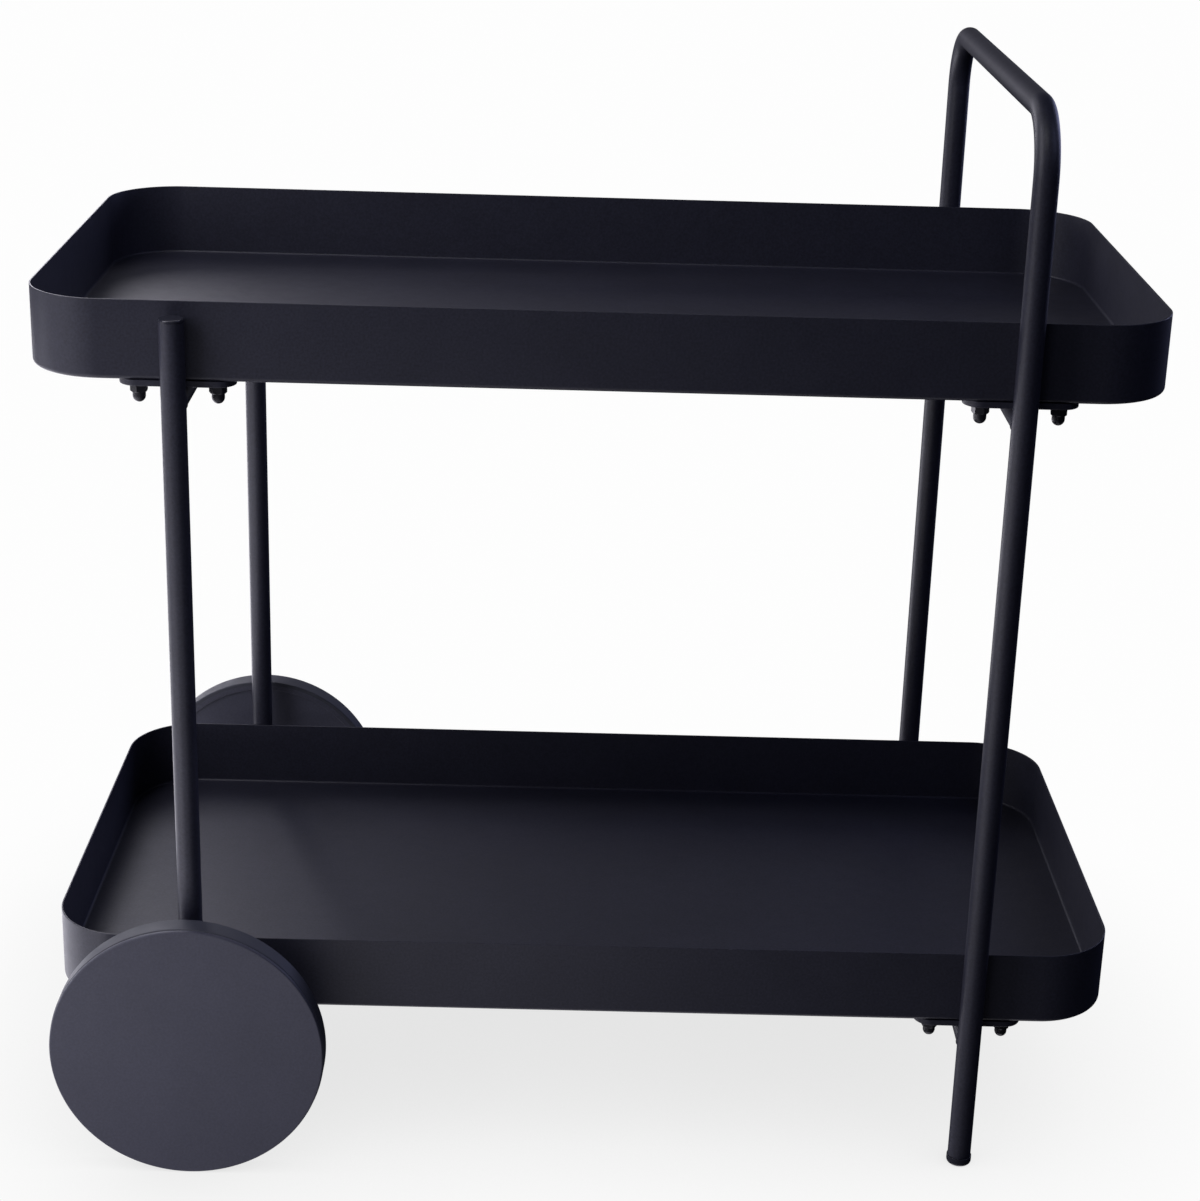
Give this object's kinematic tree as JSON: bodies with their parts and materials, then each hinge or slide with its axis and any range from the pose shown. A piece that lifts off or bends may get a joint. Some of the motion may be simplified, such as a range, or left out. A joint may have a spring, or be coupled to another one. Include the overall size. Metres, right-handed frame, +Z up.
{
  "type": "bar cart",
  "caption": "Bar cart with oblong rimmed steel trays on a round tube frame, a bent push handle over the feet at one end and plain disc wheels at the other.",
  "frame": {"origin": "on the floor under the middle of the cart", "axes": "+X from the wheel end to the handle end, +Y from the front to the back across the width, +Z up"},
  "size_m": [0.73, 0.457, 0.738],
  "materials": {
    "powder_coat": "fine matt powder coat on steel, very dark blue grey",
    "coated_fastener": "dark coated steel, satin",
    "zinc_steel": "zinc plated steel",
    "plug_plastic": "moulded polyethylene, satin",
    "nylon_bush": "natural acetal",
    "tyre_rubber": "smooth dark rubber",
    "wheel_plastic": "moulded and lacquered, fine matt texture"
  },
  "bodies": {
    "frame": {"upper_tray": "powder_coat", "lower_tray": "powder_coat", "wheel_end_upper_crossbar": "powder_coat", "handle_end_upper_crossbar": "powder_coat", "handle_end_lower_crossbar": "powder_coat", "handle_frame": "powder_coat", "axle_tube": "powder_coat", "axle_rod": "zinc_steel", "wheel_leg_front": "powder_coat", "leg_plug_front": "plug_plastic", "foot_cap_front": "plug_plastic", "axle_tube_bush_front": "nylon_bush", "inner_thrust_washer_front": "zinc_steel", "outer_thrust_washer_front": "zinc_steel", "push_on_ring_front": "zinc_steel", "wheel_leg_back": "powder_coat", "leg_plug_back": "plug_plastic", "foot_cap_back": "plug_plastic", "axle_tube_bush_back": "nylon_bush", "inner_thrust_washer_back": "zinc_steel", "outer_thrust_washer_back": "zinc_steel", "push_on_ring_back": "zinc_steel", "upper_plate_wheel_front": "powder_coat", "upper_plate_wheel_back": "powder_coat", "upper_plate_handle_front": "powder_coat", "upper_plate_handle_back": "powder_coat", "upper_tray_studs": "zinc_steel", "upper_tray_washers": "coated_fastener", "upper_tray_nuts": "coated_fastener", "lower_plate_wheel_front": "powder_coat", "lower_plate_wheel_back": "powder_coat", "lower_plate_handle_front": "powder_coat", "lower_plate_handle_back": "powder_coat", "lower_tray_studs": "zinc_steel", "lower_tray_washers": "coated_fastener", "lower_tray_nuts": "coated_fastener"},
    "front_wheel": {"wheel_core_front": "wheel_plastic", "wheel_tyre_front": "tyre_rubber", "wheel_cover_front": "wheel_plastic", "hub_bush_front": "nylon_bush"},
    "back_wheel": {"wheel_core_back": "wheel_plastic", "wheel_tyre_back": "tyre_rubber", "wheel_cover_back": "wheel_plastic", "hub_bush_back": "nylon_bush"}
  },
  "joints": [
    {"name": "front_wheel_spin", "type": "hinge", "parent": "frame", "child": "front_wheel", "pos_m": [-0.2665, -0.2155, 0.0925], "axis": [0, 1, 0], "continuous": true},
    {"name": "back_wheel_spin", "type": "hinge", "parent": "frame", "child": "back_wheel", "pos_m": [-0.2665, 0.2155, 0.0925], "axis": [0, 1, 0], "continuous": true}
  ]
}
